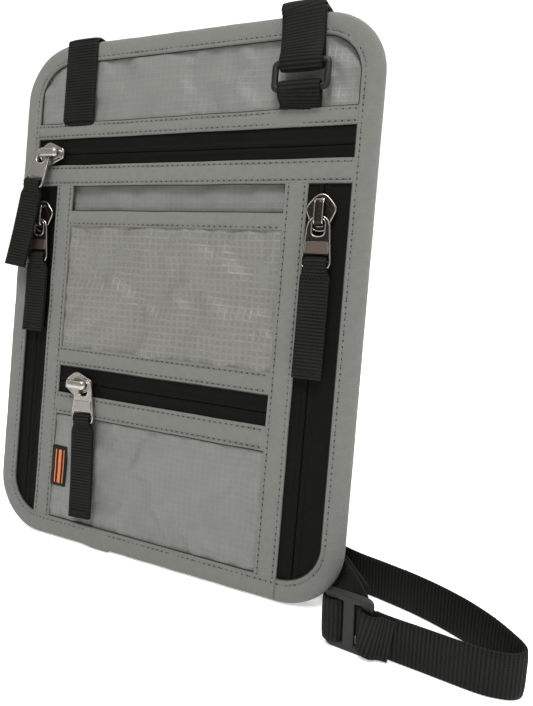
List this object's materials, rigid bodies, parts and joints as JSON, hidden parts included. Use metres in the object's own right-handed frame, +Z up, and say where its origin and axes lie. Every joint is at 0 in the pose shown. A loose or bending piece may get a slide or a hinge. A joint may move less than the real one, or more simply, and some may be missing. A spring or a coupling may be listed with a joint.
{
  "type": "neck pouch wallet",
  "caption": "Flat zipped travel pouch worn on an adjustable webbing neck strap, standing and leaning back on its strap.",
  "frame": {"origin": "middle of the pouch's bounding box at the level it stands on", "axes": "+Z up, +X along the pouch's width with the ring at +X, +Y towards the back"},
  "size_m": [0.2052, 0.0737, 0.201],
  "materials": {
    "ripstop_grey": "woven ripstop, slight sheen",
    "binding_grey": "woven tape, matt",
    "lining_silver": "coated lining, satin",
    "zip_tape_black": "fine woven tape, matt",
    "zip_coil_black": "moulded nylon coil",
    "webbing_black": "ribbed webbing, matt",
    "nickel": "polished nickel plate",
    "gunmetal": "dark plated metal with bright edges",
    "label_black": "woven satin label",
    "plastic_black": "moulded acetal, satin"
  },
  "bodies": {
    "pouch": {"back_panel": "ripstop_grey", "back_lining": "lining_silver", "main_divider": "lining_silver", "front_lining": "lining_silver", "top_panel": "ripstop_grey", "centre_back_panel": "ripstop_grey", "slip_pocket_panel": "ripstop_grey", "lower_pocket_panel": "ripstop_grey", "edge_binding": "binding_grey", "top_zip_upper_trim": "binding_grey", "top_zip_lower_trim": "binding_grey", "left_zip_trim": "binding_grey", "right_zip_trim": "binding_grey", "slip_pocket_trim": "binding_grey", "lower_zip_upper_trim": "binding_grey", "lower_zip_lower_trim": "binding_grey", "top_zip_tape": "zip_tape_black", "left_zip_tape": "zip_tape_black", "right_zip_tape": "zip_tape_black", "lower_zip_tape": "zip_tape_black", "top_zip_chain": "zip_coil_black", "left_zip_chain": "zip_coil_black", "right_zip_chain": "zip_coil_black", "lower_zip_chain": "zip_coil_black", "zip_end_stops": "nickel", "side_label": "label_black", "ring_tab": "webbing_black", "strap_sewn_end": "webbing_black", "neck_strap": "webbing_black", "neck_strap_return": "webbing_black"},
    "top_slider": {"top_slider": "nickel"},
    "top_pull": {"top_pull": "nickel"},
    "top_pull_tab": {"top_pull_tab": "webbing_black"},
    "left_slider": {"left_slider": "gunmetal"},
    "left_pull": {"left_pull": "gunmetal"},
    "left_pull_tab": {"left_pull_tab": "webbing_black"},
    "right_slider": {"right_slider": "gunmetal"},
    "right_pull": {"right_pull": "gunmetal"},
    "right_pull_tab": {"right_pull_tab": "webbing_black"},
    "lower_slider": {"lower_slider": "nickel"},
    "lower_pull": {"lower_pull": "nickel"},
    "lower_pull_tab": {"lower_pull_tab": "webbing_black"},
    "strap_ring": {"strap_ring": "plastic_black"},
    "strap_slide": {"strap_slide": "plastic_black", "strap_slide_wrap": "webbing_black"}
  },
  "joints": [
    {"name": "top_zip_travel", "type": "slide", "parent": "pouch", "child": "top_slider", "axis": [1, 0, 0], "range_m": [0, 0.118]},
    {"name": "lower_zip_travel", "type": "slide", "parent": "pouch", "child": "lower_slider", "axis": [1, 0, 0], "range_m": [0, 0.07]},
    {"name": "left_zip_travel", "type": "slide", "parent": "pouch", "child": "left_slider", "axis": [0, -0.213, -0.977], "range_m": [0, 0.11]},
    {"name": "right_zip_travel", "type": "slide", "parent": "pouch", "child": "right_slider", "axis": [0, -0.213, -0.977], "range_m": [0, 0.112]},
    {"name": "left_pull_lift", "type": "hinge", "parent": "left_slider", "child": "left_pull", "pos_m": [-0.0616, 0.00118, 0.12697], "axis": [-1, 0, 0], "range_deg": [0, 100], "deforming": ["top_pull_tab"]},
    {"name": "left_tab_fold", "type": "hinge", "parent": "left_pull", "child": "left_pull_tab", "pos_m": [-0.0616, -0.00193, 0.11271], "axis": [-1, 0, 0], "range_deg": [0, 60], "deforming": ["top_pull_tab"]},
    {"name": "right_pull_lift", "type": "hinge", "parent": "right_slider", "child": "right_pull", "pos_m": [0.058, 0.00174, 0.12951], "axis": [-1, 0, 0], "range_deg": [0, 110]},
    {"name": "right_tab_fold", "type": "hinge", "parent": "right_pull", "child": "right_pull_tab", "pos_m": [0.058, -0.00137, 0.11525], "axis": [-1, 0, 0], "range_deg": [0, 60]},
    {"name": "top_pull_swing", "type": "hinge", "parent": "top_slider", "child": "top_pull", "pos_m": [-0.0626, 0.007, 0.15365], "axis": [0, 0.977, -0.213], "range_deg": [-22, 18]},
    {"name": "top_tab_fold", "type": "hinge", "parent": "top_pull", "child": "top_pull_tab", "pos_m": [-0.06411, 0.00181, 0.14221], "axis": [-0.9925, 0.026, 0.1191], "range_deg": [0, 60]},
    {"name": "lower_pull_swing", "type": "hinge", "parent": "lower_slider", "child": "lower_pull", "pos_m": [-0.0331, -0.01264, 0.06356], "axis": [0, 0.977, -0.213], "range_deg": [-30, 30]},
    {"name": "lower_tab_fold", "type": "hinge", "parent": "lower_pull", "child": "lower_pull_tab", "pos_m": [-0.03244, -0.01533, 0.05122], "axis": [-0.9986, -0.0111, -0.0511], "range_deg": [0, 60]},
    {"name": "ring_tilt", "type": "hinge", "parent": "pouch", "child": "strap_ring", "pos_m": [0.047, 0.0098, 0.17166], "axis": [-1, 0, 0], "range_deg": [-2.5, 2.5]},
    {"name": "strap_adjust", "type": "slide", "parent": "pouch", "child": "strap_slide", "axis": [0.9968, -0.0802, 0], "range_m": [0, 0.02]}
  ]
}
